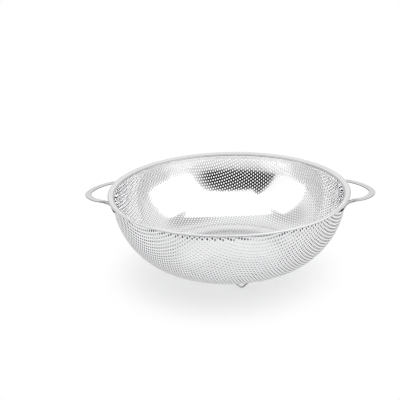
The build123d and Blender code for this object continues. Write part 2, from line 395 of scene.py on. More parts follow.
def ring_sweep(name: str, rings: list[np.ndarray], sharp_from: float = radians(40)) -> bpy.types.Object:
    """Joins rings of points, one after the other, into one closed piece.

    The pressed and bent wires change their section along the bends, which the modelling
    operators can't follow, so their rings are placed in code.

    Args:
        name: the piece's name.
        rings: each ring's points, all of the same number.
        sharp_from: the angle between faces from which an edge stays sharp.

    Returns:
        The new piece, smooth but for its ends.
    """
    size = len(rings[0])
    last = (len(rings) - 1) * size
    faces = []
    for start in range(0, last, size):
        for side in range(size):
            following = (side + 1) % size
            faces.append((start + side, start + following, start + size + following, start + size + side))
    faces.append(tuple(range(size - 1, -1, -1)))
    faces.append(tuple(range(last, last + size)))
    mesh = bpy.data.meshes.new(name)
    mesh.from_pydata(np.concatenate(rings).tolist(), [], faces)
    piece = place_in_scene(name, mesh)
    deselect_all()
    piece.select_set(True)
    bpy.context.view_layer.objects.active = piece
    bpy.ops.object.mode_set(mode="EDIT")
    bpy.ops.mesh.select_all(action="SELECT")
    bpy.ops.mesh.normals_make_consistent(inside=False)
    bpy.ops.object.mode_set(mode="OBJECT")
    bpy.ops.object.shade_smooth_by_angle(angle=sharp_from)
    return piece


def arc_points(middle: tuple[float, float], size: float, start: float, end: float, count: int) -> Profile:
    """Lays out an arc of a section.

    Args:
        middle: the arc's centre, as radius and height.
        size: its radius.
        start: the angle of its first point, from straight down.
        end: the angle of its last point.
        count: the number of steps between them.

    Returns:
        The points.
    """
    turns = [start + (end - start) * step / count for step in range(count + 1)]
    return [(middle[0] + size * sin(turn), middle[1] - size * cos(turn)) for turn in turns]


def shares_to_one(count: int) -> list[float]:
    """The ends of equal steps from 0 to 1, without the 0."""
    return [step / count for step in range(1, count + 1)]


def bend_point(controls: tuple[Vector, Vector, Vector, Vector], share: float) -> Vector:
    """Works out a point of a smooth bend.

    Args:
        controls: the bend's first point, the two that draw it out and its last point.
        share: how far along the bend the point is, from 0 to 1.

    Returns:
        The point.
    """
    rest = 1 - share
    return (
        controls[0] * rest**3
        + controls[1] * 3 * rest * rest * share
        + controls[2] * 3 * rest * share * share
        + controls[3] * share**3
    )


def neighbours(line: list, number: int) -> tuple:
    """The points of a line before and after one of its points, or the point itself at an end."""
    return line[max(number - 1, 0)], line[min(number + 1, len(line) - 1)]


def read_all(items: bpy.types.bpy_prop_collection, label: str, width: int, kind: type) -> np.ndarray:
    """Reads one property of all of a mesh's faces, edges or corners.

    Args:
        items: the faces, edges or corners.
        label: the property's name.
        width: how many numbers it has for each of them.
        kind: the numbers' type.

    Returns:
        The numbers, one after the other.
    """
    values = np.zeros(len(items) * width, kind)
    items.foreach_get(label, values)
    return values


# The bowl


@dataclass
class BowlShape:
    """The bowl's drawn shape: a flat bottom and two arcs that meet smoothly.

    Attributes:
        sheet: the sheet's thickness.
        wall_radius: the outer radius of the upright wall.
        flat_radius: the radius of the flat bottom.
        underside: the height of the flat bottom's underside.
        upright: the height from which the wall stands upright.
        edge: the height of the sheet's edge, inside the band.
        join_angle: the angle from straight down where the arcs meet.
        meridian_steps: the number of steps in which the drawing of the sheet is worked out.
        lower: the lower arc's radius, worked out from the others.
        upper: the upper arc's radius, worked out from the others.
    """

    sheet: float = 0.6 * MM
    wall_radius: float = 134.6 * MM
    flat_radius: float = 64.9 * MM
    underside: float = 7.75 * MM
    upright: float = 87.65 * MM
    edge: float = 90.15 * MM
    join_angle: float = radians(43.7)
    meridian_steps: int = 4000
    lower: float = field(init=False)
    upper: float = field(init=False)

    def __post_init__(self) -> None:
        """Works out the two arcs' radii."""
        wide = self.wall_radius - self.flat_radius
        tall = self.upright - self.underside
        scale = sin(self.join_angle) + cos(self.join_angle) - 1
        self.lower = (wide * cos(self.join_angle) - tall * (1 - sin(self.join_angle))) / scale
        self.upper = (tall * sin(self.join_angle) - wide * (1 - cos(self.join_angle))) / scale

    def upper_centre(self) -> float:
        """The radius at which the upper arc's centre lies."""
        return self.wall_radius - self.upper

    def blank_radius(self, angle: np.ndarray) -> np.ndarray:
        """Works out which place of the flat blank is drawn to each angle. The sheet keeps its area.

        Args:
            angle: the meridian angles, from straight down.

        Returns:
            The radius in the blank for each of them.
        """
        low = np.minimum(angle, self.join_angle)
        past = np.maximum(angle, self.join_angle)
        area = self.flat_radius**2 / 2
        area = area + self.lower * (self.flat_radius * low + self.lower * (1 - np.cos(low)))
        area = area + self.upper * self.upper_centre() * (past - self.join_angle)
        area = area + self.upper**2 * (cos(self.join_angle) - np.cos(past))
        return np.sqrt(2 * area)

    def drawn(self, blank: np.ndarray) -> tuple[np.ndarray, np.ndarray, np.ndarray]:
        """Where points of the flat blank come to lie.

        Args:
            blank: the points' radii in the blank.

        Returns:
            Their radii and heights on the outer face, and the face's angle from straight down.
        """
        steps = np.linspace(0, pi / 2, self.meridian_steps + 1)
        table = self.blank_radius(steps)
        angle = np.interp(blank, table, steps, left=0.0, right=pi / 2)
        on_lower = angle <= self.join_angle
        radius = np.where(
            on_lower,
            self.flat_radius + self.lower * np.sin(angle),
            self.upper_centre() + self.upper * np.sin(angle),
        )
        height = np.where(
            on_lower,
            self.underside + self.lower * (1 - np.cos(angle)),
            self.upright - self.upper * np.cos(angle),
        )
        radius = np.where(blank <= self.flat_radius, blank, radius)
        above = np.maximum(blank**2 - table[-1] ** 2, 0) / (2 * self.wall_radius)
        return radius, height + above, angle

    def blank_edge(self) -> float:
        """The blank's radius at the sheet's edge."""
        top = float(self.blank_radius(np.array([pi / 2]))[0])
        return sqrt(top**2 + 2 * self.wall_radius * (self.edge - self.upright))


@dataclass
class PerforatedBowl:
    """The bowl, with every one of its drain holes.

    The mesh is the flat blank's pattern of six-sided cells, each with a hole or plain, that
    is drawn onto the bowl's shape. No modelling operator draws a sheet, so the cells are
    written out in code. It is kept in three sectors, each of them closed.

    Attributes:
        shape: the drawn shape.
        pitch: the distance between holes in the blank.
        hole: a hole's diameter in the blank.
        row_turn: the direction of one of the rows.
        plain_radius: the blank's radius inside which there are no holes.
        hole_top: the height above which there are no holes.
        skirt_bottom: the height above which the band's skirt backs the holes, whose walls are painted
            near-black shade there.
        cell_sides: the number of sides of a cell.
        hole_sides: the number of sides of a hole, a multiple of that.
        past_edge: how far past the sheet's edge a cell may start, as a share of the pitch.
        same_point: the distance within which two cells' corners are one.
        up_first: how much more a direction's upward part counts than its outward part, where
            the one that leads up the wall is looked for.
        sectors: the number of pieces.
    """

    shape: BowlShape = field(default_factory=BowlShape)
    pitch: float = 3.85 * MM
    hole: float = 2.2 * MM
    row_turn: float = radians(17.3)
    plain_radius: float = 63.0 * MM
    hole_top: float = 88.6 * MM
    skirt_bottom: float = 84.5 * MM
    cell_sides: int = 6
    hole_sides: int = 12
    past_edge: float = 0.25
    same_point: float = 0.02 * MM
    up_first: float = 1000.0
    sectors: int = 3

    def cells(self) -> tuple[np.ndarray, np.ndarray]:
        """Lays out the blank's cells.

        Returns:
            The cells' centres, and whether each has a hole.
        """
        edge = self.shape.blank_edge()
        row_pitch = self.pitch * sqrt(3) / 2
        reach = int(edge / row_pitch) + 2
        numbers = np.arange(-reach, reach + 1)
        rows, places = np.meshgrid(numbers, np.arange(-2 * reach, 2 * reach + 1), indexing="ij")
        along = self.pitch * (places + rows / 2)
        across = row_pitch * rows
        ahead, aside = cos(self.row_turn), sin(self.row_turn)
        turned = np.stack([along * ahead - across * aside, along * aside + across * ahead], axis=-1)
        turned = turned.reshape(-1, 2)
        centres = turned[np.hypot(*turned.T) < edge + self.past_edge * self.pitch]
        distance = np.hypot(*centres.T)
        holed = (distance > self.plain_radius) & (self.shape.drawn(distance)[1] < self.hole_top)
        return centres, holed

    def build(self, finishes: Finishes) -> list[bpy.types.Object]:
        """Builds the sectors.

        Args:
            finishes: the colander's finishes.

        Returns:
            The pieces.
        """
        centres, holed = self.cells()
        LOG.info("bowl: %d drain holes", int(holed.sum()))
        turn = np.arctan2(centres[:, 1], centres[:, 0]) - self.row_turn
        sector = np.floor((turn % tau) / tau * self.sectors).astype(int) % self.sectors
        return [
            self.build_sector(number, centres[sector == number], holed[sector == number], finishes)
            for number in range(self.sectors)
        ]

    def round_each(self, centres: np.ndarray, size: float, sides: int) -> np.ndarray:
        """Sets points round each of some centres in the blank.

        Args:
            centres: the centres.
            size: the points' distance from their centre.
            sides: the number of points round each. The first lies half a cell's side on from
                the rows' direction.

        Returns:
            The points, by centre and number.
        """
        turns = self.row_turn + tau / (2 * self.cell_sides) + np.arange(sides) * tau / sides
        return centres[:, None, :] + size * np.stack([np.cos(turns), np.sin(turns)], -1)

    def build_sector(
        self, number: int, centres: np.ndarray, holed: np.ndarray, finishes: Finishes
    ) -> bpy.types.Object:
        """Builds one sector as a closed piece.

        Args:
            number: the sector's number.
            centres: its cells' centres in the blank.
            holed: whether each cell has a hole.
            finishes: the colander's finishes.

        Returns:
            The piece.
        """
        corners = self.round_each(centres, self.pitch / sqrt(3), self.cell_sides).reshape(-1, 2)
        key = np.round(corners / self.same_point).astype(np.int64)
        _, first, which = np.unique(key, axis=0, return_index=True, return_inverse=True)
        corner_of = which.reshape(-1, self.cell_sides)
        hole_centres = centres[holed]
        hole_points = self.round_each(hole_centres, self.hole / 2, self.hole_sides).reshape(-1, 2)
        blank = np.concatenate([corners[first], hole_points])
        distance = np.minimum(np.hypot(*blank.T), self.shape.blank_edge())
        azimuth = np.arctan2(blank[:, 1], blank[:, 0])
        outward = np.stack([np.cos(azimuth), np.sin(azimuth)])
        radius, height, angle = self.shape.drawn(distance)
        normal = np.stack([*(np.sin(angle) * outward), -np.cos(angle)], -1)
        outside = np.stack([*(radius * outward), height], -1)
        inside = outside - self.shape.sheet * normal
        count, first_hole = len(blank), len(first)

        sheet, walls, border = self.sector_faces(holed, corner_of, first_hole, count)
        inner_sheet = [tuple(index + count for index in reversed(face)) for face in sheet]
        mesh = bpy.data.meshes.new("bowl_sector")
        mesh.from_pydata(
            np.concatenate([outside, inside]).tolist(), [], sheet + inner_sheet + border + walls
        )
        for finish in (finishes.outside, finishes.inside, finishes.hole_edge, finishes.crevice_shade):
            mesh.materials.append(finish)
        first_border = 2 * len(sheet)
        first_wall = first_border + len(border)
        slots = np.zeros(len(mesh.polygons), np.int32)
        slots[len(sheet):first_wall] = SheetSlot.INSIDE
        # Hole walls backed by the band's skirt get near-black painted shade.
        wall_heights = np.repeat(self.shape.drawn(np.hypot(*hole_centres.T))[1], self.hole_sides)
        behind_skirt = wall_heights > self.skirt_bottom
        slots[first_wall:] = np.where(behind_skirt, SheetSlot.CREVICE_SHADE, SheetSlot.HOLE_EDGE)
        mesh.polygons.foreach_set("material_index", slots)
        mesh.polygons.foreach_set("use_smooth", np.ones(len(mesh.polygons), bool))
        self.mark_folds(mesh, count, first_border, first_wall)
        self.set_normals(mesh, normal, blank, hole_centres, first_hole, first_border, first_wall)
        piece = place_in_scene("bowl_sector", mesh)
        return finish_piece(piece, f"bowl_sector_{number + 1}", "bowl")

    def sector_faces(
        self, holed: np.ndarray, corner_of: np.ndarray, first_hole: int, count: int
    ) -> tuple[list[tuple[int, ...]], list[tuple[int, ...]], list[tuple[int, ...]]]:
        """Lists a sector's faces.

        Args:
            holed: whether each cell has a hole.
            corner_of: the points at each cell's corners.
            first_hole: the index of the first hole's first point.
            count: the number of points on one side of the sheet.

        Returns:
            The outer faces, the walls of the holes and the faces of the sector's border.
        """
        sheet: list[tuple[int, ...]] = []
        walls: list[tuple[int, ...]] = []
        per_side = self.hole_sides // self.cell_sides
        starts = iter(range(first_hole, count, self.hole_sides))
        for cell, has_hole in enumerate(holed):
            ring = corner_of[cell].tolist()
            if not has_hole:
                sheet.append(tuple(reversed(ring)))
                continue
            start = next(starts)
            for side in range(self.cell_sides):
                corner, following = ring[side], ring[(side + 1) % self.cell_sides]
                along = [start + (side * per_side + step) % self.hole_sides for step in range(per_side + 1)]
                sheet.append((*along, following, corner))
            for side in range(self.hole_sides):
                a, b = start + side, start + (side + 1) % self.hole_sides
                walls.append((a, b, b + count, a + count))
        edges = np.stack([corner_of, np.roll(corner_of, -1, axis=1)], -1).reshape(-1, 2)
        _, where, uses = np.unique(np.sort(edges, axis=1), axis=0, return_inverse=True, return_counts=True)
        outline = edges[uses[where.reshape(-1)] == 1].tolist()
        border = [(b, a, a + count, b + count) for a, b in outline]
        return sheet, walls, border

    def mark_folds(self, mesh: bpy.types.Mesh, count: int, first_border: int, first_wall: int) -> None:
        """Marks as sharp every edge where the sheet's faces meet a cut.

        Args:
            mesh: the sector's mesh.
            count: the number of points on one side of the sheet.
            first_border: the index of the first face of the sector's border.
            first_wall: the index of the first hole wall.
        """
        totals = read_all(mesh.polygons, "loop_total", 1, np.int32)
        face = np.repeat(np.arange(len(mesh.polygons)), totals)
        edge = read_all(mesh.loops, "edge_index", 1, np.int32)
        ends = read_all(mesh.edges, "vertices", 2, np.int32)
        one_side = (ends.reshape(-1, 2) < count).sum(axis=1) != 1
        sharp = np.zeros(len(mesh.edges), bool)
        sharp[edge[(face >= first_border) & (face < first_wall)]] = True
        cut = edge[face >= first_wall]
        sharp[cut[one_side[cut]]] = True
        mesh.attributes.new("sharp_edge", "BOOLEAN", "EDGE").data.foreach_set("value", sharp)

    def set_normals(
        self,
        mesh: bpy.types.Mesh,
        normal: np.ndarray,
        blank: np.ndarray,
        hole_centres: np.ndarray,
        first_hole: int,
        first_border: int,
        first_wall: int,
    ) -> None:
        """Gives each corner of each face the drawn surface's own normal, so no facet shows.

        Args:
            mesh: the sector's mesh.
            normal: the outer face's normal at each point of the blank.
            blank: the points of the blank.
            hole_centres: the holes' centres in the blank.
            first_hole: the index of the first hole's first point.
            first_border: the index of the first face of the sector's border.
            first_wall: the index of the first hole wall.
        """
        totals = read_all(mesh.polygons, "loop_total", 1, np.int32)
        face = np.repeat(np.arange(len(mesh.polygons)), totals)
        flat = read_all(mesh.polygons, "normal", 3, np.float32).reshape(-1, 3)[face]
        point = read_all(mesh.loops, "vertex_index", 1, np.int32) % len(blank)
        result = normal[point].astype(np.float64)
        result[(face >= first_border // 2) & (face < first_border)] *= -1
        border = (face >= first_border) & (face < first_wall)
        result[border] = flat[border]

        wall = face >= first_wall
        on_wall = point[wall]
        inward = hole_centres[(on_wall - first_hole) // self.hole_sides] - blank[on_wall]
        inward /= np.linalg.norm(inward, axis=1)[:, None]
        azimuth = np.arctan2(blank[on_wall, 1], blank[on_wall, 0])
        out_x, out_y = np.cos(azimuth), np.sin(azimuth)
        outward = inward[:, 0] * out_x + inward[:, 1] * out_y
        around = -inward[:, 0] * out_y + inward[:, 1] * out_x
        across = np.stack([-out_y, out_x, np.zeros_like(azimuth)], -1)
        along = np.cross(across, normal[on_wall])
        rise = along[:, 2] * self.up_first + (along[:, 0] * out_x + along[:, 1] * out_y)
        along *= np.where(rise < 0, -1, 1)[:, None]
        result[wall] = across * around[:, None] + along * outward[:, None]
        result /= np.linalg.norm(result, axis=1)[:, None]
        mesh.normals_split_custom_set(result.tolist())


# The rim band


@dataclass
class RimBand:
    """The folded strip over the bowl's edge.

    Attributes:
        shape: the bowl that it folds over.
        radius: the rim's outer radius.
        top: its highest level.
        width: its width, from the outer roll to the inner fold.
        slope: the angle at which its top falls inwards.
        roll: the outer roll's diameter.
        fold: the inner fold's diameter.
        sheet: the strip's thickness.
        skirt_drop: how far the skirt's lower edge is under the top.
        fold_gap: how far the skirt's straight part ends under the fold.
        fold_shift: how far the fold's round leans out over the skirt.
        shade_depth: how far the painted shade of the dark line at the inner fold reaches down from the fold's
            middle.
        shade_width: how far the fold's painted shade reaches out over the band's top.
        hidden_depth: how far inside the wall's inner face a skirt's face is still hidden.
        facing_out: the outward part of a hidden face's normal, at least.
        shaded_roll_share: how much of the roll's diameter has the roll's painted shade.
        roll_steps: the number of steps round the roll.
        skirt_steps: the number of steps down the skirt.
        fold_steps: the number of steps round the fold.
        steps: the number of steps round the rim.
        same_point: the distance within which two points are one.
        sharp_from: the angle between faces from which an edge stays sharp.
    """

    shape: BowlShape
    radius: float = 140.0 * MM
    top: float = 92.3 * MM
    width: float = 8.0 * MM
    slope: float = radians(19.0)
    roll: float = 2.6 * MM
    fold: float = 1.2 * MM
    sheet: float = 0.5 * MM
    skirt_drop: float = 7.8 * MM
    fold_gap: float = 0.2 * MM
    fold_shift: float = 0.1 * MM
    shade_depth: float = 1.3 * MM
    shade_width: float = 2.2 * MM
    hidden_depth: float = 0.3 * MM
    facing_out: float = 0.5
    shaded_roll_share: float = 0.6
    roll_steps: int = 14
    skirt_steps: int = 4
    fold_steps: int = 10
    steps: int = 360
    same_point: float = 0.01 * MM
    sharp_from: float = radians(35)

    def shade_reach(self) -> float:
        """The radius at which the fold's painted shade ends on the band's top."""
        return self.radius - self.width + self.shade_width

    def fold_level(self) -> float:
        """Works out where the inner fold lies, so that the band's top falls by its slope.

        Returns:
            The level of the fold's middle.
        """
        roll, fold = self.roll / 2, self.fold / 2
        inward = self.width - roll - fold
        return self.top - roll + (roll - fold - inward * sin(self.slope)) / cos(self.slope)

    def section(self) -> Profile:
        """Lays out the band's closed section.

        Returns:
            Its points in order, as radius and height.
        """
        roll, fold = self.roll / 2, self.fold / 2
        roll_centre = (self.radius - roll, self.top - roll)
        fold_centre = (self.radius - self.width + fold + self.fold_shift, self.fold_level())
        wall = self.shape.wall_radius - self.shape.sheet
        upper = self.shape.upper - self.shape.sheet
        centre = (self.shape.upper_centre(), self.shape.upright)
        bottom_angle = acos((self.shape.upright - self.top + self.skirt_drop) / upper)

        points = arc_points(roll_centre, roll, pi + self.slope, 0, self.roll_steps)
        points.append((wall, self.top - self.roll))
        points += arc_points(centre, upper, pi / 2, bottom_angle, self.skirt_steps)
        points += arc_points(centre, upper - self.sheet, bottom_angle, pi / 2, self.skirt_steps)
        points.append((wall - self.sheet, fold_centre[1] - fold - self.fold_gap))
        points += arc_points(fold_centre, fold, 0, -pi + self.slope, self.fold_steps)
        (reach, height), (outer, outer_height) = points[-1], points[0]
        share = (self.shade_reach() - reach) / (outer - reach)
        points.append((self.shade_reach(), height + (outer_height - height) * share))
        return points

    def build(self, finishes: Finishes) -> bpy.types.Object:
        """Extrudes the section point by point and spins it about the bowl's axis.

        Args:
            finishes: the colander's finishes.

        Returns:
            The piece.
        """
        points = [Vector((reach, 0, height)) for reach, height in self.section()]
        deselect_all()
        bpy.ops.mesh.primitive_plane_add(size=self.sheet, location=points[0])
        band = bpy.context.object
        bpy.ops.object.transform_apply(location=True, rotation=True, scale=True)
        bpy.ops.object.mode_set(mode="EDIT")
        bpy.ops.mesh.select_all(action="SELECT")
        bpy.ops.mesh.merge(type="CENTER")
        for before, after in zip(points, points[1:]):
            bpy.ops.mesh.extrude_region_move(TRANSFORM_OT_translate={"value": after - before})
        bpy.ops.mesh.select_all(action="SELECT")
        bpy.ops.mesh.remove_doubles(threshold=self.same_point)
        bpy.ops.object.mode_set(mode="OBJECT")
        made = bmesh.new()
        made.from_mesh(band.data)
        made.edges.new([vertex for vertex in made.verts if len(vertex.link_edges) == 1])
        made.to_mesh(band.data)
        made.free()
        bpy.ops.object.mode_set(mode="EDIT")
        bpy.ops.mesh.select_all(action="SELECT")
        bpy.ops.mesh.spin(steps=self.steps, angle=tau, center=(0, 0, 0), axis=(0, 0, 1))
        bpy.ops.mesh.select_all(action="SELECT")
        bpy.ops.mesh.remove_doubles(threshold=self.same_point)
        bpy.ops.mesh.normals_make_consistent(inside=False)
        bpy.ops.object.mode_set(mode="OBJECT")
        bpy.ops.object.shade_smooth_by_angle(angle=self.sharp_from)
        self.dress(band.data, finishes)
        return finish_piece(band, "folded_rim_band", "rim_band")

    def dress(self, mesh: bpy.types.Mesh, finishes: Finishes) -> None:
        """Gives each face of the band its finish.

        Args:
            mesh: the band's mesh.
            finishes: the colander's finishes.
        """
        for finish in (finishes.band, finishes.crevice_shade, finishes.seam, finishes.roll, finishes.fold):
            mesh.materials.append(finish)
        hidden_from = self.shape.wall_radius - self.shape.sheet - self.hidden_depth
        fold_level = self.fold_level()
        for face in mesh.polygons:
            reach = face.center.xy.length
            outward = face.normal.xy.dot(face.center.xy) / reach
            under_roll = face.center.z < self.top - self.roll
            # The skirt's outward faces, which lie behind the bowl's wall under the roll, get near-black
            # painted shade.
            if under_roll and outward > self.facing_out and reach > hidden_from:
                face.material_index = BandSlot.CREVICE_SHADE
            # The inner fold and the seam under it get painted shade.
            elif face.center.z > fold_level - self.shade_depth and reach < self.shade_reach():
                face.material_index = BandSlot.FOLD_SHADE if face.center.z > fold_level else BandSlot.SEAM_SHADE
            # The outer roll gets its painted shade.
            elif reach > self.radius - self.shaded_roll_share * self.roll:
                face.material_index = BandSlot.ROLL_SHADE


# The handles


@dataclass
class LoopHandle:
    """A handle of round wire, pressed flat along its loop.

    Attributes:
        side: 1 for the right handle and -1 for the left.
        wire: the round wire's diameter.
        bar_width: the pressed bar's width.
        bar_thickness: the pressed bar's thickness.
        squareness: how much squarer than round the pressed bar's section is.
        half_width: half the loop's width.
        reach: how far the loop stands out from where it meets the wall.
        fullness: the power of the loop's curve, 2 for an ellipse.
        height: the loop's middle level where it meets the wall.
        droop: how far the loop's outer end lies under that.
        neck_start: how far from there the pressed bar starts to turn round again.
        neck_length: the length over which it does so.
        neck_drop: how far the wire falls in that length.
        bend_reach: how far the bend from the neck to the wall is drawn out at its ends.
        tab_drop: how far the ends lie under the loop.
        tab_radius: the radius of the ends' middle line, round the bowl.
        tab_start: the angle at which an end's arc starts.
        tab_length: an end's length along the wall.
        end_rounding: the rounding of a cut end.
        shaded_tip: how far from its cut end the wire is near black: the rough cut face and painted shade
            under the rim.
        round_reach: how far inside the loop's widest place the wire's painted shade starts.
        edge_lean: the upward part of the normal below which a face is the bar's edge, which gets painted
            shade.
        loop_steps: the number of steps along the loop.
        neck_steps: the number of steps along a neck.
        bend_steps: the number of steps along the bend from a neck to the wall.
        tab_steps: the number of steps along an end.
        rounding_steps: the number of steps round a cut end's rounding.
        ring_points: the number of points round the wire.
    """

    side: int
    wire: float = 3.6 * MM
    bar_width: float = 7.2 * MM
    bar_thickness: float = 1.9 * MM
    squareness: float = 0.28
    half_width: float = 33.7 * MM
    reach: float = 32.8 * MM
    fullness: float = 1.79
    height: float = 88.4 * MM
    droop: float = 1.9 * MM
    neck_start: float = 9.5 * MM
    neck_length: float = 4.2 * MM
    neck_drop: float = 0.85 * MM
    bend_reach: float = 3.4 * MM
    tab_drop: float = 2.3 * MM
    tab_radius: float = 136.5 * MM
    tab_start: float = radians(18.0)
    tab_length: float = 16.5 * MM
    end_rounding: float = 0.35 * MM
    shaded_tip: float = 4.2 * MM
    round_reach: float = 1.5 * MM
    edge_lean: float = 0.75
    loop_steps: int = 72
    neck_steps: int = 8
    bend_steps: int = 14
    tab_steps: int = 8
    rounding_steps: int = 3
    ring_points: int = 28

    def loop_point(self, share: float) -> Vector:
        """Works out a point of the loop's middle line.

        Args:
            share: how far along the loop it is, from one end at -1 to the other at 1.

        Returns:
            The point.
        """
        turn = share * pi / 2
        start = sqrt(self.tab_radius**2 - self.half_width**2)
        outward = abs(cos(turn)) ** (2 / self.fullness)
        sideways = self.half_width * abs(sin(turn)) ** (2 / self.fullness)
        place = (start + self.reach * outward, sideways if share > 0 else -sideways)
        return Vector((*place, self.height - self.droop * outward))

    def tab_point(self, turn: float) -> Vector:
        """The point of an end's middle line at an angle round the bowl."""
        level = self.height - self.tab_drop
        return Vector((self.tab_radius * cos(turn), self.tab_radius * sin(turn), level))

    def middle_line(self) -> tuple[list[Vector], list[float]]:
        """Lays out the right handle's wire.

        Returns:
            The points of its middle line, and each point's share of pressing.
        """
        neck = acos((self.neck_start / self.reach) ** (self.fullness / 2)) * 2 / pi
        loop = [self.loop_point(neck * (2 * share - 1)) for share in [0, *shares_to_one(self.loop_steps)]]
        first = loop[-1]
        onward = (loop[-1] - loop[-2]).normalized()
        end: list[Vector] = []
        pressing: list[float] = []
        for share in shares_to_one(self.neck_steps):
            turned_round = share * share * (3 - 2 * share)
            end.append(first + onward * self.neck_length * share - UP * self.neck_drop * turned_round)
            pressing.append(1 - turned_round)
        neck_end, tab = end[-1], self.tab_point(self.tab_start)
        along = Vector((-sin(self.tab_start), cos(self.tab_start), 0))
        controls = (neck_end, neck_end + onward * self.bend_reach, tab - along * self.bend_reach, tab)
        end += [bend_point(controls, share) for share in shares_to_one(self.bend_steps)]
        tab_turn = self.tab_length / self.tab_radius
        end += [self.tab_point(self.tab_start + tab_turn * share) for share in shares_to_one(self.tab_steps)]
        pressing += [0.0] * (len(end) - len(pressing))
        mirrored = [Vector((point.x, -point.y, point.z)) for point in reversed(end)]
        return mirrored + loop + end, pressing[::-1] + [1.0] * len(loop) + pressing

    def ring(self, points: list[Vector], number: int, share: float) -> np.ndarray:
        """Lays out the wire's section at one point of its middle line.

        Args:
            points: the middle line.
            number: the point's number.
            share: how far the wire is pressed flat there.

        Returns:
            The section's points.
        """
        behind, ahead = neighbours(points, number)
        along = (ahead - behind).normalized()
        sideways = along.cross(UP).normalized()
        upward = sideways.cross(along).normalized()
        turns = np.arange(self.ring_points) * tau / self.ring_points
        flat, thick = (
            np.sign(wave) * np.abs(wave) ** (1 / (1 + self.squareness * share))
            for wave in (np.cos(turns), np.sin(turns))
        )
        wide = (self.wire + (self.bar_width - self.wire) * share) / 2
        tall = (self.wire + (self.bar_thickness - self.wire) * share) / 2
        return np.array(points[number]) + np.outer(wide * flat, sideways) + np.outer(tall * thick, upward)

    def end_rings(self, ring: np.ndarray, end: Vector, neighbour: Vector) -> list[np.ndarray]:
        """Rounds a cut end a little.

        Args:
            ring: the ring at the very end.
            end: the middle line's last point.
            neighbour: the point before it.

        Returns:
            The rings of the rounded end, from the outermost.
        """
        inward = np.array((neighbour - end).normalized())
        centre = np.array(end)
        made = []
        for share in [0, *shares_to_one(self.rounding_steps)]:
            turn = share * pi / 2
            size = 1 - self.end_rounding / (self.wire / 2) * (1 - sin(turn))
            made.append(centre + (ring - centre) * size + inward * self.end_rounding * (1 - cos(turn)))
        return made

    def build(self, finishes: Finishes) -> bpy.types.Object:
        """Sweeps the wire along its middle line, pressed flat where the loop is.

        Args:
            finishes: the colander's finishes.

        Returns:
            The piece.
        """
        points, pressing = self.middle_line()
        if self.side < 0:
            points = [Vector((-point.x, -point.y, point.z)) for point in points]
        rings = [self.ring(points, number, share) for number, share in enumerate(pressing)]
        one_end = self.end_rings(rings[0], points[0], points[1])
        other_end = self.end_rings(rings[-1], points[-1], points[-2])
        handle = ring_sweep("handle", one_end + rings[1:-1] + other_end[::-1])
        self.dress(handle.data, (points[0], points[-1]), finishes)
        word = "right" if self.side > 0 else "left"
        return finish_piece(handle, f"{word}_loop_handle", f"{word}_handle")

    def dress(self, mesh: bpy.types.Mesh, tips: tuple[Vector, Vector], finishes: Finishes) -> None:
        """Gives each face of the handle its finish.

        Args:
            mesh: the handle's mesh.
            tips: the wire's two ends.
            finishes: the colander's finishes.
        """
        for finish in (finishes.wire, finishes.cut, finishes.bar_edge_shade, finishes.neck):
            mesh.materials.append(finish)
        for face in mesh.polygons:
            # The ends get the cut face's colour and painted shade.
            if min((face.center - tip).length for tip in tips) < self.shaded_tip:
                face.material_index = HandleSlot.CUT_AND_SHADE
            # The neck, past the loop's widest place, gets painted shade.
            elif abs(face.center.y) > self.half_width - self.round_reach:
                face.material_index = HandleSlot.NECK_SHADE
            # The bar's steep side faces get painted shade.
            elif abs(face.normal.z) < self.edge_lean:
                face.material_index = HandleSlot.BAR_EDGE_SHADE


# The feet


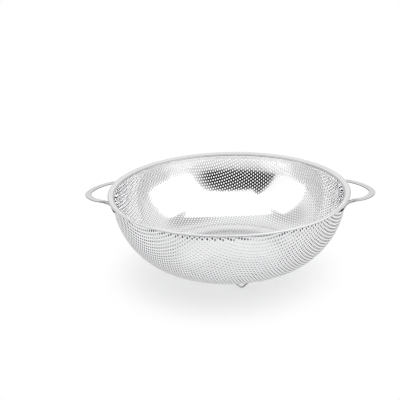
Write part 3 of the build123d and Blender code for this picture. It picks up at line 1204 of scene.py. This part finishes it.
@dataclass
class WireFoot:
    """A foot: a V bend of thin wire under the bowl.

    Attributes:
        name: which foot it is.
        turn: its direction from the bowl's middle.
        shape: the bowl that it is joined to.
        wire: the wire's diameter.
        circle: the radius of the circle on which the feet stand.
        toe_width: the straight part of the toe, between its two bends.
        arm_spread: how far each arm goes out sideways.
        tab_length: the length of each end along the bowl.
        bend: the radius of the bends.
        wear: how far the toe is worn flat.
        clearance: the gap between the wire and the sheet.
        bend_steps: the number of steps round a bend.
        ring_points: the number of points round the wire.
    """

    name: str
    turn: float
    shape: BowlShape
    wire: float = 2.0 * MM
    circle: float = 74.7 * MM
    toe_width: float = 2.4 * MM
    arm_spread: float = 8.0 * MM
    tab_length: float = 7.0 * MM
    bend: float = 2.0 * MM
    wear: float = 0.15 * MM
    clearance: float = 0.1 * MM
    bend_steps: int = 8
    ring_points: int = 16

    def corners(self) -> Profile:
        """Works out the bent line's corners.

        Returns:
            The corners, as a sideways place and a height.
        """
        half = self.toe_width / 2
        inner = half + self.arm_spread
        outer = inner + self.tab_length
        reach = sqrt(self.circle**2 + inner**2) - self.shape.flat_radius
        seat = self.shape.underside + self.shape.lower - sqrt(self.shape.lower**2 - reach**2)
        high = seat - self.clearance - self.wire / 2
        low = self.wire / 2 - self.wear
        return [(-outer, high), (-inner, high), (-half, low), (half, low), (inner, high), (outer, high)]

    def middle_line(self) -> Profile:
        """Rounds the bent line's corners.

        Returns:
            The line's points, as a sideways place and a height.
        """
        corners = [Vector(corner) for corner in self.corners()]
        points = [corners[0]]
        for before, corner, after in zip(corners, corners[1:], corners[2:]):
            back, forth = (before - corner).normalized(), (after - corner).normalized()
            half_angle = back.angle(forth) / 2
            cut = self.bend * cos(half_angle) / sin(half_angle)
            start, end = corner + back * cut, corner + forth * cut
            middle = corner + (back + forth).normalized() * self.bend / sin(half_angle)
            first = atan2(start.y - middle.y, start.x - middle.x)
            swing = atan2(end.y - middle.y, end.x - middle.x) - first
            swing = (swing + pi) % tau - pi
            for share in [0, *shares_to_one(self.bend_steps)]:
                turn = first + swing * share
                points.append(middle + Vector((cos(turn), sin(turn))) * self.bend)
        points.append(corners[-1])
        return [(point.x, point.y) for point in points]

    def build(self, finishes: Finishes) -> bpy.types.Object:
        """Bends the wire and wears its toe flat.

        Args:
            finishes: the colander's finishes.

        Returns:
            The piece.
        """
        outward = np.array((cos(self.turn), sin(self.turn), 0.0))
        sideways = np.array((-sin(self.turn), cos(self.turn), 0.0))
        turns = np.arange(self.ring_points) * tau / self.ring_points
        line = self.middle_line()
        rings = []
        for number, (place, height) in enumerate(line):
            behind, ahead = neighbours(line, number)
            slope = atan2(ahead[1] - behind[1], ahead[0] - behind[0])
            across = -sin(slope) * sideways + cos(slope) * np.array(UP)
            centre = outward * self.circle + sideways * place + np.array(UP) * height
            ring = np.outer(np.cos(turns), outward) + np.outer(np.sin(turns), across)
            ring = centre + self.wire / 2 * ring
            ring[:, 2] = np.maximum(ring[:, 2], 0)
            rings.append(ring)
        foot = ring_sweep("foot", rings)
        foot.data.materials.append(finishes.foot)
        return finish_piece(foot, f"{self.name}_wire", self.name)


# The studio


def towards(azimuth: float, height: float) -> Vector:
    """The unit vector of a direction, given in degrees from +X and above the table."""
    turn, level = radians(azimuth), radians(height)
    return Vector((cos(level) * cos(turn), cos(level) * sin(turn), sin(level)))


@dataclass(frozen=True)
class Softbox:
    """One softbox.

    Attributes:
        name: the softbox's name.
        azimuth: its direction from +X, in degrees.
        height: its elevation, in degrees.
        reach: its distance from the bowl.
        size: its width and its height.
        glow: how bright its face is, where 1 is white.
        for_metal: whether it lights the metal, or else the table.
    """

    name: str
    azimuth: float
    height: float
    reach: float
    size: tuple[float, float]
    glow: float
    for_metal: bool = True


@dataclass(frozen=True)
class WallGap:
    """One place where the studio's pale walls are darker.

    Attributes:
        azimuth: its direction from +X, in degrees.
        height: its elevation, in degrees.
        size: how far it spreads along each axis.
        softness: the width of its soft edge, as a share of its size.
        factor: what it leaves of the walls' brightness.
    """

    azimuth: float
    height: float
    size: tuple[float, float, float]
    softness: float
    factor: float


SOFTBOXES = (
    Softbox("right_softbox", -18.0, 32.0, 1.4, (1.5, 1.3), 1.3),
    Softbox("left_softbox", -161.0, 32.0, 1.4, (1.05, 1.3), 1.3),
    Softbox("top_softbox", -82.0, 72.0, 1.4, (1.66, 1.36), 1.3),
    Softbox("table_softbox", 70.0, 80.0, 1.5, (1.0, 1.0), 4.4, for_metal=False),
)
GAPS = (
    WallGap(-104.0, 14.0, (0.78, 0.9, 0.58), 0.20, 0.01),
    WallGap(168.0, 46.0, (0.32, 0.30, 0.26), 0.5, 0.70),
    WallGap(28.0, 62.0, (0.28, 0.28, 0.22), 0.5, 0.62),
)


@dataclass
class Studio:
    """The table, the lamps, the background and the camera.

    Attributes:
        distance: from the camera to the middle of the rim's top edge.
        elevation: how high the camera stands, in degrees.
        turn: the direction in which it stands from +X, in degrees.
        roll: how far it is turned about its own axis.
        aim: the rim's middle in the picture, in pixels.
        focal: its focal length, in pixels of a picture that is 400 wide.
        sensor: the width of its sensor, in the millimetres that Blender counts in.
        near: the distance from which it sees things.
        rim_height: the height of the rim's top edge.
        picture: the picture's width in pixels.
        table_width: the table top's width.
        wall_glow: how bright the walls are to the metal.
        deep_fill: from the second reflection on, the walls' least brightness as a share of
            that: a fixed part, and a part for each reflection so far.
        second_glow: what is left of a softbox's brightness after a second reflection.
        fill_glow: how bright the world is to everything else.
        fill_colour: its colour there.
        paper_colour: the table paper's colour.
        paper_roughness: the paper's roughness.
        paper_gloss: the strength of its gloss.
        paper_middle: the middle of the object's shadow on the paper.
        paper_fade: the distances from there between which the paper turns white.
        paper_lift: how far the paper is lifted to white near the object.
        shine_fade: the distances between which the metal sees the paper turn darker.
        paper_shine: how far the paper is lifted for the metal, nearer and farther than those.
        bounces: the most bounces of any kind of light.
        glossy_bounces: the most reflections.
        pixel_filter: the width over which a pixel is smoothed, in pixels.
    """

    distance: float = 0.868
    elevation: float = 20.02
    turn: float = 272.3
    roll: float = radians(1.15)
    aim: tuple[float, float] = (228.25, 187.73)
    focal: float = 745.4
    sensor: float = 36.0
    near: float = 0.01
    rim_height: float = 92.0 * MM
    picture: float = 400.0
    table_width: float = 12.0
    wall_glow: float = 1.0
    deep_fill: tuple[float, float] = (0.42, 0.30)
    second_glow: float = 0.45
    fill_glow: float = 0.5
    fill_colour: Colour = (0.96, 0.98, 1.0)
    paper_colour: Colour = (0.88, 0.885, 0.90)
    paper_roughness: float = 0.8
    paper_gloss: float = 0.1
    paper_middle: tuple[float, float, float] = (-0.008, -0.022, 0.0)
    paper_fade: tuple[float, float] = (0.060, 0.150)
    paper_lift: float = 0.52
    shine_fade: tuple[float, float] = (0.45, 0.90)
    paper_shine: tuple[float, float] = (0.88, 0.30)
    bounces: int = 16
    glossy_bounces: int = 12
    pixel_filter: float = 1.3

    def camera(self) -> bpy.types.Object:
        """Puts the camera where the picture was taken from.

        Returns:
            The camera.
        """
        away = towards(self.turn, self.elevation)
        forward = -away
        right = forward.cross(UP).normalized()
        looking = Matrix((right, right.cross(forward), forward))
        half = self.picture / 2
        view = Vector(((self.aim[0] - half) / self.focal, (half - self.aim[1]) / self.focal, 1)).normalized()
        yaw, pitch, roll = atan2(view.x, view.z), asin(view.y), self.roll
        about_x = Matrix(((1, 0, 0), (0, cos(pitch), sin(pitch)), (0, -sin(pitch), cos(pitch))))
        about_y = Matrix(((cos(yaw), 0, sin(yaw)), (0, 1, 0), (-sin(yaw), 0, cos(yaw))))
        about_z = Matrix(((cos(roll), -sin(roll), 0), (sin(roll), cos(roll), 0), (0, 0, 1)))
        aimed = about_y @ about_x @ about_z @ looking
        data = bpy.data.cameras.new("camera")
        data.sensor_width = self.sensor
        data.lens = self.focal / self.picture * self.sensor
        data.clip_start = self.near
        camera = place_in_scene("camera", data)
        rotation = Matrix((aimed[0], aimed[1], -aimed[2])).transposed()
        place = away * self.distance + UP * self.rim_height
        camera.matrix_world = Matrix.Translation(place) @ rotation.to_4x4()
        bpy.context.scene.camera = camera
        return camera

    def table(self) -> bpy.types.Object:
        """Lays the pale table top, which shows white where it is far from the object.

        Returns:
            The table top.
        """
        deselect_all()
        bpy.ops.mesh.primitive_plane_add(size=self.table_width, location=(0, 0, 0))
        top = bpy.context.object
        top.name = "table_top"
        top.data.materials.append(self.paper())
        return top

    def paper(self) -> bpy.types.Material:
        """Makes the table's white paper, which keeps the object's shadow and turns white far off.

        Returns:
            The material.
        """
        paper = bpy.data.materials.new("white_paper")
        paper.use_nodes = True
        tree = paper.node_tree
        shader = tree.nodes["Principled BSDF"]
        shader.inputs["Base Color"].default_value = (*self.paper_colour, 1.0)
        shader.inputs["Roughness"].default_value = self.paper_roughness
        shader.inputs["Specular IOR Level"].default_value = self.paper_gloss
        place = add_node(tree, "ShaderNodeTexCoord").outputs["Object"]
        reach = vector_math(tree, "DISTANCE", place, self.paper_middle).outputs["Value"]
        fade = eased(tree, reach, self.paper_fade, (self.paper_lift, 1.0))
        shine = eased(tree, reach, self.shine_fade, self.paper_shine)
        path = add_node(tree, "ShaderNodeLightPath").outputs
        given = {MIX_FACTOR: path["Is Glossy Ray"], MIX_NUMBERS[0]: fade, MIX_NUMBERS[1]: shine}
        lift = add_node(tree, "ShaderNodeMix", given).outputs[MIX_NUMBER_OUT]
        seen = number_math(tree, "MAXIMUM", path["Is Camera Ray"], path["Is Glossy Ray"])
        seen = number_math(tree, "MAXIMUM", seen, path["Is Transmission Ray"])
        glow = add_node(tree, "ShaderNodeEmission", {"Color": WHITE, "Strength": 1.0})
        chosen = mixed_shaders(tree, number_math(tree, "MULTIPLY", lift, seen), shader, glow)
        feed(tree, tree.nodes["Material Output"].inputs["Surface"], chosen.outputs[0])
        return paper

    def hang(self, softbox: Softbox) -> None:
        """Hangs one softbox that shines at the bowl.

        Args:
            softbox: the softbox.
        """
        data = bpy.data.lights.new(softbox.name, "AREA")
        data.shape = "RECTANGLE"
        data.size, data.size_y = softbox.size
        data.energy = softbox.glow * pi * data.size * data.size_y
        data.use_nodes = True
        tree = data.node_tree
        # The depth is a whole number: 1 is seen at full strength, and 2 and more are dimmed.
        depth = add_node(tree, "ShaderNodeLightPath").outputs["Glossy Depth"]
        strength = eased(tree, depth, (1.0, 2.0), (1.0, self.second_glow))
        feed(tree, tree.nodes["Emission"].inputs["Strength"], strength)
        lamp = place_in_scene(softbox.name, data)
        away = towards(softbox.azimuth, softbox.height)
        lamp.location = away * softbox.reach
        lamp.rotation_euler = (-away).to_track_quat("-Z", "Y").to_euler()
        lamp.visible_camera = False
        lamp.visible_glossy = softbox.for_metal
        lamp.visible_diffuse = not softbox.for_metal

    def gap_mask(self, tree: Tree, direction: Socket, gap: WallGap) -> Socket:
        """Makes the factor that a gap puts on the walls' brightness.

        Args:
            tree: the world's node tree.
            direction: the direction of the ray.
            gap: the gap.

        Returns:
            The factor, which is 1 outside the gap.
        """
        offset = vector_math(tree, "SUBTRACT", direction, towards(gap.azimuth, gap.height)).outputs[0]
        scaled = vector_math(tree, "DIVIDE", offset, gap.size).outputs[0]
        away = vector_math(tree, "LENGTH", scaled).outputs["Value"]
        return eased(tree, away, (1 - gap.softness, 1 + gap.softness), (gap.factor, 1.0))

    def world(self) -> None:
        """Makes the background: white to the camera, and the studio's walls to the metal."""
        world = bpy.data.worlds.new("studio")
        bpy.context.scene.world = world
        world.use_nodes = True
        tree = world.node_tree
        tree.nodes.clear()
        path = add_node(tree, "ShaderNodeLightPath").outputs
        direction = add_node(tree, "ShaderNodeTexCoord").outputs["Generated"]
        fixed, for_each = self.deep_fill
        least = number_math(tree, "MULTIPLY_ADD", path["Glossy Depth"], for_each, fixed)
        # The depth is a whole number, so 1.5 parts the first reflection from the later ones.
        past_first = number_math(tree, "GREATER_THAN", path["Glossy Depth"], 1.5)
        least = number_math(tree, "MULTIPLY", least, past_first)
        strength: Given = self.wall_glow
        for gap in GAPS:
            factor = number_math(tree, "MAXIMUM", self.gap_mask(tree, direction, gap), least)
            strength = number_math(tree, "MULTIPLY", strength, factor)
        walls, soft, white = (
            add_node(tree, "ShaderNodeBackground", {"Color": colour, "Strength": level})
            for colour, level in ((WHITE, strength), ((*self.fill_colour, 1.0), self.fill_glow), (WHITE, 1.0))
        )
        by_gloss = mixed_shaders(tree, path["Is Glossy Ray"], soft, walls)
        by_camera = mixed_shaders(tree, path["Is Camera Ray"], by_gloss, white)
        add_node(tree, "ShaderNodeOutputWorld", {"Surface": by_camera.outputs[0]})

    def build(self) -> None:
        """Sets the whole studio up."""
        self.table()
        self.world()
        for softbox in SOFTBOXES:
            self.hang(softbox)
        self.camera()
        scene = bpy.context.scene
        scene.cycles.max_bounces = self.bounces
        scene.cycles.glossy_bounces = self.glossy_bounces
        scene.cycles.filter_width = self.pixel_filter
        scene.view_settings.view_transform = "Standard"


# The whole colander

# Each foot's name and its direction from +X, in degrees.
FEET = (("front_foot", 282.4), ("rear_right_foot", 42.4), ("rear_left_foot", 162.4))
WELDS = ("left_handle_welds", "right_handle_welds", "foot_welds")


def dress_cad(finishes: Finishes) -> None:
    """Gives the CAD nodes that stay in view their finish.

    Args:
        finishes: the colander's finishes.
    """
    for name in WELDS:
        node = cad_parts[name]
        node.data.materials.clear()
        node.data.materials.append(finishes.weld)


def main() -> None:
    """Builds the colander and its studio."""
    logging.basicConfig(level=logging.INFO, format="%(message)s")
    finishes = Finishes()
    shape = BowlShape()
    PerforatedBowl(shape).build(finishes)
    RimBand(shape).build(finishes)
    for side in (1, -1):
        LoopHandle(side).build(finishes)
    for name, turn in FEET:
        WireFoot(name, radians(turn), shape).build(finishes)
    dress_cad(finishes)
    Studio().build()


if __name__ == "__main__":
    main()
